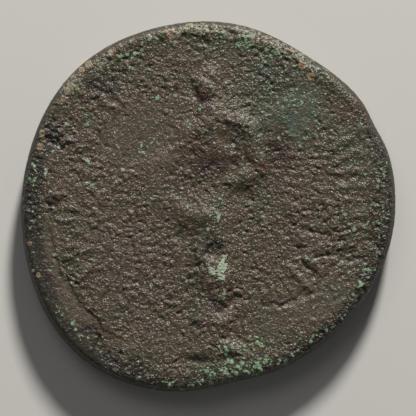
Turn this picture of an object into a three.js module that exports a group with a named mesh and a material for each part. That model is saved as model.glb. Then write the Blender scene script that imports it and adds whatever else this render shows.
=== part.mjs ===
// A large Roman bronze coin, worn and corroded: one struck flan with a standing draped figure above
// and a bust below. Millimetres. It lies on its underside at z = 0, with the figure's head towards +Y.
import * as THREE from "three";
import { mergeVertices } from "three/addons/utils/BufferGeometryUtils.js";

// Flan: a circle a little off the middle, with the lobes and flats that hammering left.
const FLAN_RADIUS = 15.92;
const FLAN_OFFSET = { x: 0.14, y: -0.24 };
// Each lobe swells the edge, or flattens it where swell is below zero, round a heading from +X.
const FLAN_LOBES = [
  { name: "right corner", heading: 26, spread: 6, swell: -0.22 },
  { name: "upper right flat", heading: 57, spread: 18, swell: -0.53 },
  { name: "upper left shoulder", heading: 134, spread: 25, swell: 0.47 },
  { name: "lower left lobe", heading: 230, spread: 30, swell: 0.79 },
  { name: "bottom dent", heading: 278, spread: 12.5, swell: -0.36 },
  { name: "lower right flat", heading: 302, spread: 45, swell: -1.12 },
];

// Heights above the surface that the coin lies on, and the rounding of its edge.
const UPPER_FIELD = 3.6;
const LOWER_FIELD = 0.5;
const WAIST_HEIGHT = 1.9;
const EDGE_INSET = 0.75;
const EDGE_FULLNESS = 0.78;

// The upper face is dished a little. Its border stands up along the top, where the die's rim is left.
const DISH_DEPTH = 0.12;
const UPPER_BORDER = { inset: 0.95, half: 0.5, rise: 0.12, heading: 84, spread: 58 };
// The lower border is worn to long bearings, with lower stretches between them.
const LOWER_BORDER = { inset: 1.25, half: 0.75, rise: 0.66, wane: 0.3, bearings: 3 };
// At the lower left the struck layer ends in a step down to a smooth band.
const STEP = { depth: 0.14, from: 176, to: 246, radius: 13.35, blend: 0.5, lead: 20 };

// Facets run in rings from the middle of each face to the waist. They are drawn in towards the figure,
// and turned so that the octahedron's edges pass beside it.
const RINGS = 35;
const FACE_RINGS = 31;
const DRAW_IN = 0.35;
const SEAM_TURN = 45;

// The standing figure. Each form runs from one joint to another, with a half-width and a rise at both.
const FIGURE = [
  { name: "head", from: [0.2, 10.8], to: [-0.1, 10], half: [1, 1.15], rise: [0.26, 0.4] },
  { name: "neck", from: [-0.1, 9], to: [0.4, 7.6], half: [0.7, 1], rise: [0.2, 0.26] },
  { name: "chest", from: [0.7, 6.7], to: [0.3, 2.8], half: [2.5, 1.8], rise: [0.4, 0.2] },
  { name: "near shoulder", from: [1.1, 7.5], to: [2.9, 6.9], half: [1, 0.95], rise: [0.42, 0.46] },
  { name: "far shoulder", from: [0.2, 6.7], to: [-1.6, 6.3], half: [1, 0.9], rise: [0.36, 0.22] },
  { name: "near upper arm", from: [3.2, 6.6], to: [4.3, 3.8], half: [0.8, 0.75], rise: [0.36, 0.3] },
  { name: "near forearm", from: [4.3, 3], to: [2, 2.1], half: [0.8, 0.75], rise: [0.2, 0.24] },
  { name: "far upper arm", from: [-1.7, 6], to: [-3.4, 4], half: [0.95, 0.9], rise: [0.12, 0.09] },
  { name: "far forearm", from: [-3.4, 4], to: [-6, 3.2], half: [0.9, 0.75], rise: [0.09, 0.08] },
  { name: "held rod", from: [-6.6, 3], to: [-8.4, 1.1], half: [0.45, 0.4], rise: [0.1, 0.08] },
  { name: "horn", from: [3.4, 6.3], to: [6.7, 8.4], half: [0.65, 1.05], rise: [0.16, 0.12] },
  { name: "side of the chest", from: [2.3, 6], to: [2.5, 3.8], half: [0.9, 0.9], rise: [0.2, 0.12] },
  { name: "hips", from: [0.3, 1.6], to: [-0.3, -1.2], half: [1.6, 2], rise: [0.22, 0.3] },
  { name: "near hip", from: [-1.7, -0.5], to: [-0.6, -0.7], half: [1.1, 1.2], rise: [0.34, 0.4] },
  { name: "hip roll", from: [-4.2, 0.7], to: [-2.4, -0.2], half: [0.6, 0.8], rise: [0.05, 0.18] },
  { name: "skirt", from: [-0.1, -1.6], to: [0.5, -6], half: [1.9, 1.75], rise: [0.32, 0.3] },
  { name: "knee", from: [0.3, -5], to: [0.9, -6], half: [1, 1.2], rise: [0.32, 0.34] },
  { name: "lower legs", from: [0.4, -7], to: [0.4, -11], half: [1.6, 1.7], rise: [0.26, 0.24] },
  { name: "hem", from: [-1, -9.4], to: [1.5, -9.9], half: [0.6, 0.6], rise: [0.24, 0.24] },
  { name: "far foot", from: [-0.2, -11.8], to: [-0.9, -12.2], half: [0.7, 0.6], rise: [0.24, 0.2] },
  { name: "near foot", from: [1.5, -11.8], to: [2.2, -12.2], half: [0.7, 0.6], rise: [0.24, 0.2] },
];

// Hollows and folds cut into the figure, and the ground line under its feet.
const FIGURE_CUTS = [
  { name: "under the hip", from: [-2.2, -2.4], to: [-0.9, -2.2], half: [0.7, 0.7], rise: [0.16, 0.16] },
  { name: "under the shoulder", from: [1.5, 5.6], to: [2.3, 5.3], half: [0.7, 0.7], rise: [0.14, 0.1] },
  { name: "under the forearm", from: [2.6, 1.1], to: [3.6, 1], half: [0.9, 0.8], rise: [0.1, 0.08] },
  { name: "over the knee", from: [0.3, -3.9], to: [0.7, -4.2], half: [0.5, 0.5], rise: [0.16, 0.16] },
  { name: "below the knee", from: [-1.2, -6.8], to: [1.1, -8.7], half: [0.45, 0.5], rise: [0.09, 0.12] },
  { name: "fold end", from: [1.1, -8.7], to: [2.4, -7.6], half: [0.5, 0.4], rise: [0.16, 0.12] },
  { name: "ground line", from: [-2.4, -13], to: [2.6, -13], half: [0.3, 0.3], rise: [0.06, 0.06] },
];

// What is left of the inscription: rows of plain strokes, along the rim and in the field.
const STROKE = { half: 0.38, rise: 0.11 };
const STROKE_LEANS = [0, 12, -8, 0, -12, 6];
const UPPER_ROWS = [
  { name: "upper left row", middle: 142, spread: 26, radius: 12.2, length: 1.9, strokes: 6 },
  { name: "left row", middle: 186, spread: 20, radius: 12.2, length: 1.9, strokes: 5 },
  { name: "right row", middle: 8, spread: 34, radius: 12.4, length: 1.9, strokes: 7 },
  { name: "left field row", middle: 204, spread: 8, radius: 11.6, length: 2.4, strokes: 2 },
  { name: "right field row", middle: 331, spread: 18, radius: 9.6, length: 2.4, strokes: 3 },
];
const LOWER_ROWS = [
  { name: "rear row", middle: 12, spread: 66, radius: 11.9, length: 1.8, strokes: 13 },
  { name: "front row", middle: 168, spread: 66, radius: 11.9, length: 1.8, strokes: 13 },
];

// The bust below faces +X with its crown towards -Y. Its forms are given forward of and above the
// middle of the head, whose eyes are half way up and whose brow, nose and chin part the face in thirds.
const BUST_PLACE = { x: 0.3, y: -2.9 };
const BUST = [
  { name: "skull", from: [-1.6, 2.2], to: [0.4, 2.5], half: [3.7, 3.6], rise: [1, 1] },
  { name: "face", from: [1.9, 1.4], to: [2.3, -3.9], half: [2.4, 1.8], rise: [0.95, 0.75] },
  { name: "jaw", from: [-0.4, -2.6], to: [2.8, -5], half: [1.7, 1.4], rise: [0.8, 0.65] },
  { name: "brow", from: [3.7, 1.9], to: [4.2, 1.3], half: [0.6, 0.5], rise: [0.56, 0.56] },
  { name: "nose", from: [4.2, 0.4], to: [4.9, -1.8], half: [0.5, 0.65], rise: [0.44, 0.52] },
  { name: "upper lip", from: [4, -3], to: [4.4, -3.1], half: [0.5, 0.4], rise: [0.5, 0.46] },
  { name: "lower lip", from: [3.9, -3.9], to: [4.2, -3.9], half: [0.5, 0.4], rise: [0.5, 0.46] },
  { name: "chin", from: [3.4, -5.3], to: [3.7, -5.4], half: [0.9, 0.8], rise: [0.52, 0.5] },
  { name: "neck", from: [-0.6, -3], to: [-1, -8.6], half: [2.6, 3.1], rise: [0.9, 0.7] },
  { name: "rear shoulder", from: [-1.4, -8.6], to: [-5.4, -10], half: [2, 1.6], rise: [0.58, 0.52] },
  { name: "front shoulder", from: [-1.4, -8.8], to: [3.2, -10], half: [2, 1.5], rise: [0.58, 0.52] },
  { name: "draped chest", from: [-2.6, -10.4], to: [0.8, -10.6], half: [1.9, 1.8], rise: [0.58, 0.58] },
];
// The bust rises ever more slowly towards this height, so its edges are round and its top is worn flat.
const BUST_CAP = 0.58;
const BUST_CUTS = [
  { name: "eye socket", from: [3, 0.7], to: [3.6, 0.5], half: [0.55, 0.45], rise: [0.3, 0.26] },
  { name: "mouth", from: [3.3, -3.45], to: [4.4, -3.5], half: [0.2, 0.2], rise: [0.2, 0.2] },
  { name: "ear", from: [-0.7, 0.4], to: [-0.9, -0.6], half: [0.35, 0.3], rise: [0.3, 0.26] },
  { name: "jaw line", from: [-0.8, -3.6], to: [2.2, -6], half: [0.5, 0.45], rise: [0.16, 0.3] },
  { name: "nape", from: [-4, -1.7], to: [-1.5, -1.5], half: [0.35, 0.35], rise: [0.3, 0.26] },
  { name: "hairline", from: [3.3, 3.6], to: [1.6, 2.3], half: [0.3, 0.3], rise: [0.14, 0.16] },
  { name: "temple", from: [1.6, 2.3], to: [0.5, -0.8], half: [0.3, 0.3], rise: [0.16, 0.2] },
];
const CROWN = { forward: -0.9, up: 2.3 };
// Locks lie in rows round the crown. Each row has more of them than the one inside it.
const LOCKS = { rows: 3, first: 5, more: 4, radius: 0.9, step: 1.15, length: 0.85, curl: 0.3 };
const LOCK_ARC = { from: 15, sweep: 220 };
const LOCK_CUT = { half: 0.34, rise: 0.22 };
// The cloak's folds fan out downwards from its clasp at the front shoulder.
const FOLDS = { count: 4, head: 0.2, headStep: 0.8, headUp: -8.8, foot: -5.4, footStep: 2.3, footUp: -12 };
const FOLD_CUT = { half: 0.4, headRise: 0.16, footRise: 0.28 };

// How sharply forms stand out: the figure melts into the field, and the bust keeps its outline.
const FIGURE_LOOK = { fall: 2.3, melt: 3 };
const BUST_LOOK = { fall: 5, melt: 6 };
const CUT_LOOK = { fall: 2, melt: 4 };

const { clamp, degToRad, euclideanModulo, lerp, radToDeg, smoothstep } = THREE.MathUtils;

// The angle from one heading to another, between -180 and 180 degrees.
function turnBetween(from, to) {
  return euclideanModulo(to - from + 180, 360) - 180;
}

// A bell that is 1 at zero and falls away round it.
function bell(away, half, fall = 2) {
  return Math.exp(-(Math.abs(away / half) ** fall));
}

// Distance from the coin's middle to its edge.
function edgeRadius(heading) {
  const angle = degToRad(heading);
  const offset = FLAN_OFFSET.x * Math.cos(angle) + FLAN_OFFSET.y * Math.sin(angle);
  return FLAN_LOBES.reduce(
    (radius, lobe) => radius + lobe.swell * bell(turnBetween(lobe.heading, heading), lobe.spread),
    FLAN_RADIUS + offset,
  );
}

// How far a tapered form with round ends rises at (x, y).
function formRise(form, x, y, fall) {
  const [x0, y0] = form.from;
  const along = new THREE.Vector2(form.to[0] - x0, form.to[1] - y0);
  const place = clamp(((x - x0) * along.x + (y - y0) * along.y) / along.lengthSq(), 0, 1);
  const away = Math.hypot(x - x0 - place * along.x, y - y0 - place * along.y);
  const eased = smoothstep(place, 0, 1);
  return lerp(...form.rise, eased) * bell(away, lerp(...form.half, eased), fall);
}

// Forms that meet run into each other softly, as in worn relief.
function reliefRise(forms, look, x, y) {
  const sum = forms.reduce((total, form) => total + formRise(form, x, y, look.fall) ** look.melt, 0);
  return sum ** (1 / look.melt);
}

// Strokes of one row stand across the rim, each leaning a little its own way.
function strokeRow(row) {
  return Array.from({ length: row.strokes }, (_, index) => {
    const heading = degToRad(row.middle + row.spread * (index / (row.strokes - 1) - 0.5));
    const lean = heading + degToRad(STROKE_LEANS[index % STROKE_LEANS.length]);
    const end = (side) => [
      row.radius * Math.cos(heading) + side * 0.5 * row.length * Math.cos(lean),
      row.radius * Math.sin(heading) + side * 0.5 * row.length * Math.sin(lean),
    ];
    return { from: end(-1), to: end(1), half: [STROKE.half, STROKE.half], rise: [STROKE.rise, STROKE.rise] };
  });
}

// A short curved lock at one angle round the crown, as a cut.
function lockCut(radius, angle) {
  const point = (reach, turn) => [
    CROWN.forward + reach * Math.cos(turn),
    CROWN.up + reach * Math.sin(turn),
  ];
  return {
    from: point(radius, angle),
    to: point(radius + LOCKS.length, angle + LOCKS.curl),
    half: [LOCK_CUT.half, LOCK_CUT.half],
    rise: [LOCK_CUT.rise, LOCK_CUT.rise],
  };
}

// Every other row starts half a lock further round.
function hairLocks() {
  return Array.from({ length: LOCKS.rows }, (_, row) => {
    const count = LOCKS.first + LOCKS.more * row;
    return Array.from({ length: count }, (__, lock) => {
      const angle = LOCK_ARC.from + (LOCK_ARC.sweep * (lock + 0.5 * (row % 2))) / count;
      return lockCut(LOCKS.radius + row * LOCKS.step, degToRad(angle));
    });
  }).flat();
}

function cloakFolds() {
  return Array.from({ length: FOLDS.count }, (_, index) => ({
    from: [FOLDS.head + index * FOLDS.headStep, FOLDS.headUp],
    to: [FOLDS.foot + index * FOLDS.footStep, FOLDS.footUp],
    half: [FOLD_CUT.half, FOLD_CUT.half],
    rise: [FOLD_CUT.headRise, FOLD_CUT.footRise],
  }));
}

const UPPER_STROKES = UPPER_ROWS.flatMap(strokeRow);
const LOWER_STROKES = LOWER_ROWS.flatMap(strokeRow);
const LOWER_CUTS = [...BUST_CUTS, ...hairLocks(), ...cloakFolds()];

function upperBorder(heading, inset) {
  const kept = bell(turnBetween(UPPER_BORDER.heading, heading), UPPER_BORDER.spread);
  return UPPER_BORDER.rise * kept * bell(inset - UPPER_BORDER.inset, UPPER_BORDER.half);
}

function lowerBorder(heading, inset) {
  const kept = 1 - LOWER_BORDER.wane * (0.5 + 0.5 * Math.cos(LOWER_BORDER.bearings * degToRad(heading)));
  return LOWER_BORDER.rise * kept * bell(inset - LOWER_BORDER.inset, LOWER_BORDER.half);
}

function stepDown(heading, radius) {
  const inArc =
    smoothstep(heading, STEP.from, STEP.from + STEP.lead) *
    (1 - smoothstep(heading, STEP.to - STEP.lead, STEP.to));
  return STEP.depth * inArc * smoothstep(radius, STEP.radius, STEP.radius + STEP.blend);
}

function upperHeight(x, y, heading) {
  const radius = Math.hypot(x, y);
  const dish = DISH_DEPTH * ((radius / FLAN_RADIUS) ** 2 - 1);
  const figure = reliefRise(FIGURE, FIGURE_LOOK, x, y) - reliefRise(FIGURE_CUTS, FIGURE_LOOK, x, y);
  const strokes = reliefRise(UPPER_STROKES, CUT_LOOK, x, y);
  const border = upperBorder(heading, edgeRadius(heading) - radius);
  return UPPER_FIELD + dish + figure + strokes + border - stepDown(heading, radius);
}

// What stands out below z = 0 is worn flat there.
function lowerHeight(x, y, heading) {
  const forward = x - BUST_PLACE.x;
  const up = BUST_PLACE.y - y;
  const bust = BUST_CAP * Math.tanh(reliefRise(BUST, BUST_LOOK, forward, up) / BUST_CAP);
  const cuts = reliefRise(LOWER_CUTS, CUT_LOOK, forward, up);
  const strokes = reliefRise(LOWER_STROKES, CUT_LOOK, x, y);
  const border = lowerBorder(heading, edgeRadius(heading) - Math.hypot(x, y));
  return Math.max(0, LOWER_FIELD - Math.max(bust - cuts, 0) - strokes - border);
}

// Heading of a point of the diamond |x| + |y| = 1, running evenly along each of its sides.
function diamondHeading(x, y) {
  const turn = (90 * Math.abs(y)) / (Math.abs(x) + Math.abs(y));
  if (x >= 0) {
    return y >= 0 ? turn : 360 - turn;
  }
  return y >= 0 ? 180 - turn : 180 + turn;
}

// Takes a point of the octahedron to its place on the coin.
function placeOnCoin(point) {
  point.divideScalar(Math.abs(point.x) + Math.abs(point.y) + Math.abs(point.z));
  const ring = Math.round(RINGS * (Math.abs(point.x) + Math.abs(point.y)));
  const heading = ring > 0 ? diamondHeading(point.x, point.y) + SEAM_TURN : 0;
  const cosine = Math.cos(degToRad(heading));
  const sine = Math.sin(degToRad(heading));
  const faceRadius = edgeRadius(heading) - EDGE_INSET;
  const share = Math.min(ring / FACE_RINGS, 1);
  const x = (1 - DRAW_IN * (1 - share * share)) * share * faceRadius * cosine;
  const y = share * faceRadius * sine;
  const turned = radToDeg(Math.atan2(y, x));
  const height = (point.z > 0 ? upperHeight : lowerHeight)(x, y, euclideanModulo(turned, 360));
  if (ring <= FACE_RINGS) {
    return point.set(x, y, height);
  }
  const round = (0.5 * Math.PI * (ring - FACE_RINGS)) / (RINGS - FACE_RINGS);
  const reach = faceRadius + EDGE_INSET * Math.sin(round) ** EDGE_FULLNESS;
  const level = Math.max(Math.cos(round), 0) ** EDGE_FULLNESS;
  return point.set(reach * cosine, reach * sine, lerp(WAIST_HEIGHT, height, level));
}

function coinGeometry() {
  const octahedron = new THREE.OctahedronGeometry(1, RINGS - 1);
  octahedron.deleteAttribute("normal");
  octahedron.deleteAttribute("uv");
  const geometry = mergeVertices(octahedron);
  const places = geometry.getAttribute("position");
  const point = new THREE.Vector3();
  for (let index = 0; index < places.count; index += 1) {
    placeOnCoin(point.fromBufferAttribute(places, index));
    places.setXYZ(index, point.x, point.y, point.z);
  }
  geometry.computeVertexNormals();
  return geometry;
}

const coin = new THREE.Mesh(
  coinGeometry(),
  new THREE.MeshStandardMaterial({ color: 0x5c5248, roughness: 0.72, metalness: 0.45 }),
);
coin.name = "coin";

const group = new THREE.Group();
group.add(coin);

export default group;
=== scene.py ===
"""A large Roman bronze coin, worn and corroded, lying on a pale floor and seen from straight above."""

import math
from collections import namedtuple

import bmesh
import bpy
import numpy as np
from bpy.props import FloatProperty, FloatVectorProperty, IntProperty, PointerProperty
from mathutils import Matrix, Vector, noise


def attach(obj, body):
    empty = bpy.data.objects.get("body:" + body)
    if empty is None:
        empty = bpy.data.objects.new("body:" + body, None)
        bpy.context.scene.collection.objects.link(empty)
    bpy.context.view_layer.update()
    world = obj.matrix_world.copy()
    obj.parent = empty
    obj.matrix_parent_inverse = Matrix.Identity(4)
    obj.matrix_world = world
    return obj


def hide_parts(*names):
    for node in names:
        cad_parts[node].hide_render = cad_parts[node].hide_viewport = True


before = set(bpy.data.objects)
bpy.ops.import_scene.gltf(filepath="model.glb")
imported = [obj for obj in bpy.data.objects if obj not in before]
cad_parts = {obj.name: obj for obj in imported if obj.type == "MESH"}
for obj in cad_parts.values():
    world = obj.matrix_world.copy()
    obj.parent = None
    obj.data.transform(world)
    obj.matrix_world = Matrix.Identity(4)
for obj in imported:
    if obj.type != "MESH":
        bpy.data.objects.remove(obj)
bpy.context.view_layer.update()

bl_info = {
    "name": "Roman Bronze Coin",
    "version": (1, 0, 0),
    "blender": (4, 5, 0),
    "location": "View3D > Sidebar > Coin",
    "description": "Strikes and corrodes one large Roman bronze coin, and sets it on a pale floor",
    "category": "Add Mesh",
}

MM = 0.001

# The flan, its edge and its two faces, in millimetres, as in the solid.
FLAN_RADIUS = 15.92
FLAN_OFFSET = (0.14, -0.24)
Lobe = namedtuple("Lobe", "name heading spread swell")
FLAN_LOBES = (
    Lobe("right corner", 26, 6, -0.22),
    Lobe("upper right flat", 57, 18, -0.53),
    Lobe("upper left shoulder", 134, 25, 0.47),
    Lobe("lower left lobe", 230, 30, 0.79),
    Lobe("bottom dent", 278, 12.5, -0.36),
    Lobe("lower right flat", 302, 45, -1.12),
)
UPPER_FIELD = 3.6
LOWER_FIELD = 0.5
WAIST_HEIGHT = 1.9
EDGE_INSET = 0.75
EDGE_FULLNESS = 0.78
DISH_DEPTH = 0.12
UPPER_BORDER = {"inset": 0.95, "half": 0.5, "rise": 0.12, "heading": 84, "spread": 58}
LOWER_BORDER = {"inset": 1.25, "half": 0.75, "rise": 0.66, "wane": 0.3, "bearings": 3}
STEP = {"depth": 0.14, "start": 176, "end": 246, "radius": 13.35, "blend": 0.24, "lead": 20}

# A form runs from one joint to another, with a half-width and a rise at both.
Form = namedtuple("Form", "name start end half rise")
FIGURE = (
    Form("head", (0.2, 10.8), (-0.1, 10.0), (1.0, 1.15), (0.26, 0.4)),
    Form("neck", (-0.1, 9.0), (0.4, 7.6), (0.7, 1.0), (0.2, 0.26)),
    Form("chest", (0.7, 6.7), (0.3, 2.8), (2.5, 1.8), (0.4, 0.2)),
    Form("near shoulder", (1.1, 7.5), (2.9, 6.9), (1.0, 0.95), (0.42, 0.46)),
    Form("far shoulder", (0.2, 6.7), (-1.6, 6.3), (1.0, 0.9), (0.36, 0.22)),
    Form("near upper arm", (3.2, 6.6), (4.3, 3.8), (0.8, 0.75), (0.36, 0.3)),
    Form("near forearm", (4.3, 3.0), (2.0, 2.1), (0.8, 0.75), (0.2, 0.24)),
    Form("far upper arm", (-1.7, 6.0), (-3.4, 4.0), (0.95, 0.9), (0.12, 0.09)),
    Form("far forearm", (-3.4, 4.0), (-6.0, 3.2), (0.9, 0.75), (0.09, 0.08)),
    Form("held rod", (-6.6, 3.0), (-8.4, 1.1), (0.45, 0.4), (0.1, 0.08)),
    Form("horn", (3.4, 6.3), (6.7, 8.4), (0.65, 1.05), (0.16, 0.12)),
    Form("side of the chest", (2.3, 6.0), (2.5, 3.8), (0.9, 0.9), (0.2, 0.12)),
    Form("hips", (0.3, 1.6), (-0.3, -1.2), (1.6, 2.0), (0.22, 0.3)),
    Form("near hip", (-1.7, -0.5), (-0.6, -0.7), (1.1, 1.2), (0.34, 0.4)),
    Form("hip roll", (-4.2, 0.7), (-2.4, -0.2), (0.6, 0.8), (0.05, 0.18)),
    Form("skirt", (-0.1, -1.6), (0.5, -6.0), (1.9, 1.75), (0.32, 0.3)),
    Form("knee", (0.3, -5.0), (0.9, -6.0), (1.0, 1.2), (0.32, 0.34)),
    Form("lower legs", (0.4, -7.0), (0.4, -11.0), (1.6, 1.7), (0.26, 0.24)),
    Form("hem", (-1.0, -9.4), (1.5, -9.9), (0.6, 0.6), (0.24, 0.24)),
    Form("far foot", (-0.2, -11.8), (-0.9, -12.2), (0.7, 0.6), (0.24, 0.2)),
    Form("near foot", (1.5, -11.8), (2.2, -12.2), (0.7, 0.6), (0.24, 0.2)),
)
FIGURE_CUTS = (
    Form("under the hip", (-2.2, -2.4), (-0.9, -2.2), (0.7, 0.7), (0.16, 0.16)),
    Form("under the shoulder", (1.5, 5.6), (2.3, 5.3), (0.7, 0.7), (0.14, 0.1)),
    Form("under the forearm", (2.6, 1.1), (3.6, 1.0), (0.9, 0.8), (0.1, 0.08)),
    Form("over the knee", (0.3, -3.9), (0.7, -4.2), (0.5, 0.5), (0.16, 0.16)),
    Form("below the knee", (-1.2, -6.8), (1.1, -8.7), (0.45, 0.5), (0.09, 0.12)),
    Form("fold end", (1.1, -8.7), (2.4, -7.6), (0.5, 0.4), (0.16, 0.12)),
    Form("ground line", (-2.4, -13.0), (2.6, -13.0), (0.3, 0.3), (0.06, 0.06)),
)

# Rows of plain strokes stand where the inscription was.
Row = namedtuple("Row", "name middle spread radius length strokes")
STROKE_HALF = 0.3
STROKE_RISE = 0.11
STROKE_LEANS = (0, 12, -8, 0, -12, 6)
STROKE_WANDER = 0.16
UPPER_ROWS = (
    Row("upper left row", 142, 26, 12.2, 1.9, 6),
    Row("left row", 186, 20, 12.2, 1.9, 5),
    Row("right row", 8, 34, 12.4, 1.9, 7),
    Row("left field row", 204, 8, 11.6, 2.4, 2),
    Row("right field row", 331, 18, 9.6, 2.4, 3),
)
LOWER_ROWS = (
    Row("rear row", 12, 66, 11.9, 1.8, 13),
    Row("front row", 168, 66, 11.9, 1.8, 13),
)

# The bust below, forward of and above the middle of its head.
BUST_PLACE = (0.3, -2.9)
BUST = (
    Form("skull", (-1.6, 2.2), (0.4, 2.5), (3.7, 3.6), (1.0, 1.0)),
    Form("face", (1.9, 1.4), (2.3, -3.9), (2.4, 1.8), (0.95, 0.75)),
    Form("jaw", (-0.4, -2.6), (2.8, -5.0), (1.7, 1.4), (0.8, 0.65)),
    Form("brow", (3.7, 1.9), (4.2, 1.3), (0.6, 0.5), (0.56, 0.56)),
    Form("nose", (4.2, 0.4), (4.9, -1.8), (0.5, 0.65), (0.44, 0.52)),
    Form("upper lip", (4.0, -3.0), (4.4, -3.1), (0.5, 0.4), (0.5, 0.46)),
    Form("lower lip", (3.9, -3.9), (4.2, -3.9), (0.5, 0.4), (0.5, 0.46)),
    Form("chin", (3.4, -5.3), (3.7, -5.4), (0.9, 0.8), (0.52, 0.5)),
    Form("neck", (-0.6, -3.0), (-1.0, -8.6), (2.6, 3.1), (0.9, 0.7)),
    Form("rear shoulder", (-1.4, -8.6), (-5.4, -10.0), (2.0, 1.6), (0.58, 0.52)),
    Form("front shoulder", (-1.4, -8.8), (3.2, -10.0), (2.0, 1.5), (0.58, 0.52)),
    Form("draped chest", (-2.6, -10.4), (0.8, -10.6), (1.9, 1.8), (0.58, 0.58)),
)
# The bust rises ever more slowly towards this height, so its edges are round and its top is worn flat.
BUST_CAP = 0.58
BUST_CUTS = (
    Form("eye socket", (3.0, 0.7), (3.6, 0.5), (0.55, 0.45), (0.3, 0.26)),
    Form("mouth", (3.3, -3.45), (4.4, -3.5), (0.2, 0.2), (0.2, 0.2)),
    Form("ear", (-0.7, 0.4), (-0.9, -0.6), (0.35, 0.3), (0.3, 0.26)),
    Form("jaw line", (-0.8, -3.6), (2.2, -6.0), (0.5, 0.45), (0.16, 0.3)),
    Form("nape", (-4.0, -1.7), (-1.5, -1.5), (0.35, 0.35), (0.3, 0.26)),
    Form("hairline", (3.3, 3.6), (1.6, 2.3), (0.3, 0.3), (0.14, 0.16)),
    Form("temple", (1.6, 2.3), (0.5, -0.8), (0.3, 0.3), (0.16, 0.2)),
)
CROWN = (-0.9, 2.3)
# Locks lie in rows round the crown. Each row has more of them than the one inside it.
LOCKS = {"rows": 3, "first": 5, "more": 4, "radius": 0.9, "step": 1.15, "length": 0.85, "curl": 0.3}
LOCK_ARC = {"start": 15, "sweep": 220}
LOCK_HALF = 0.34
LOCK_CUT = 0.22
# The cloak's folds fan out downwards from its clasp at the front shoulder.
FOLD_HEADS = {"first": 0.2, "step": 0.8, "up": -8.8}
FOLD_FEET = {"first": -5.4, "step": 2.3, "up": -12.0}
FOLD_COUNT = 4
FOLD_HALF = 0.4
FOLD_CUTS = (0.16, 0.28)

# How sharply forms stand out, and how softly they meet.
Look = namedtuple("Look", "fall melt")
FIGURE_LOOK = Look(2.3, 3.0)
BUST_LOOK = Look(5.0, 6.0)
CUT_LOOK = Look(2.0, 4.0)

# Patches of finish, of painted shade and of painted light, as soft-edged ovals: middle, half-sizes, turn in
# degrees and amount.
SMOOTH_PATCHES = {
    "upper right": ((7.3, 7.8), (2.8, 2.2), 20, 0.8),
    "lower right": ((9.0, -8.0), (3.6, 2.1), 25, 0.85),
    "right of the feet": ((5.4, -10.4), (2.4, 1.2), 10, 0.5),
    "torso": ((0.4, 4.2), (2.4, 1.9), 0, 0.5),
    "left of the torso": ((-5.6, 5.6), (4.6, 3.6), 0, 0.6),
    "left edge": ((-13.4, -2.4), (0.9, 3.0), 6, 0.7),
}
COARSE_PATCHES = {
    "lower left field": ((-5.4, -4.6), (5.0, 5.2), 0, 1.0),
    "left field": ((-9.4, 1.0), (3.0, 3.6), 0, 0.8),
    "right field": ((8.6, 0.0), (4.6, 6.0), 0, 0.9),
    "below the right field": ((7.0, -5.4), (3.4, 2.0), 0, 0.9),
    "top left field": ((-3.6, 10.6), (3.0, 2.4), 0, 0.6),
    "left of the top": ((-9.0, 9.4), (2.4, 1.4), 40, 0.7),
}
TEAL_PATCHES = {
    "upper right": ((7.0, 7.6), (3.4, 2.6), 30, 0.9),
    "by the shoulder": ((4.6, 8.6), (2.6, 1.8), 40, 0.6),
    "top right field": ((5.6, 11.0), (4.6, 3.0), -30, 0.5),
    "right rim": ((12.6, 3.0), (3.0, 5.0), 0, 0.4),
    "top": ((0.0, 13.0), (4.0, 1.6), 0, 0.35),
    "below the right field": ((10.5, -6.8), (2.4, 1.6), 30, 0.35),
}
OLIVE_PATCHES = {
    "top edge": ((1.0, 14.2), (5.0, 1.4), -4, 0.6),
    "upper right field": ((5.4, 10.4), (3.2, 2.2), -20, 0.85),
    "top right edge": ((9.4, 11.2), (4.0, 0.9), -42, 0.8),
    "right rim": ((14.6, 1.0), (1.2, 6.0), 0, 0.6),
    "right of the teal skin": ((11.2, 6.2), (2.2, 2.6), 0, 0.5),
    "bottom rim": ((2.2, -13.8), (5.0, 1.3), 6, 1.0),
    "under the near shoulder": ((2.0, 5.5), (1.8, 1.2), 0, 0.42),
    "left rim": ((-14.6, 1.6), (0.9, 5.0), 0, 0.5),
}
RUST_PATCHES = {
    "torso": ((0.2, 4.1), (2.4, 1.7), 0, 0.5),
    "low in the torso": ((0.2, 3.5), (1.4, 1.1), 20, 0.65),
    "left of the waist": ((-2.0, 2.4), (2.4, 1.2), 10, 0.4),
    "cheek side of the head": ((-0.4, 9.3), (0.8, 1.2), 20, 0.6),
    "by the elbow": ((5.6, 3.7), (2.0, 1.1), 10, 0.85),
    "right of the arm": ((6.1, 5.0), (1.1, 1.9), -10, 0.8),
    "under the forearm": ((3.4, 1.5), (1.0, 1.3), -30, 0.6),
    "under the hip": ((-1.5, -2.0), (1.2, 0.7), -10, 0.35),
    "down the skirt": ((0.6, -2.4), (0.35, 1.3), 0, 0.5),
    "knee and shins": ((1.2, -7.2), (2.0, 1.6), 0, 0.3),
    "right of the skirt": ((6.8, -1.6), (1.6, 1.2), 0, 0.5),
}
MAUVE_PATCHES = {
    "lower left field": ((-6.4, -5.2), (4.2, 4.4), 20, 0.9),
    "left of the waist": ((-3.2, 1.6), (2.6, 2.0), 0, 0.7),
    "foot of the field": ((-4.6, -11.0), (3.2, 1.6), 0, 0.8),
    "right field": ((7.2, -2.6), (3.0, 3.0), 0, 0.7),
    "lower right field": ((10.2, -7.6), (2.6, 1.4), 35, 0.7),
    "below the horn": ((5.6, 2.6), (1.6, 1.6), 0, 0.6),
}
# Painted light: paler patches that lift the shaded flanks of the far shoulder and the far arm, the slope
# under the near shoulder, and parts of the lower fields.
PAINTED_LIGHT_PATCHES = {
    "far shoulder": ((-1.6, 6.5), (1.1, 1.1), 0, 0.7),
    "far arm": ((-3.8, 3.8), (1.6, 1.3), 20, 0.65),
    "end of the far arm": ((-5.9, 2.9), (1.1, 0.9), 20, 0.5),
    "foot of the field": ((-4.6, -11.3), (3.6, 1.5), -8, 0.7),
    "lower left field": ((-7.5, -6.4), (3.2, 3.0), 0, 0.3),
    "under the near shoulder": ((1.9, 5.9), (1.5, 1.2), 0, 1.0),
}
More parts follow.
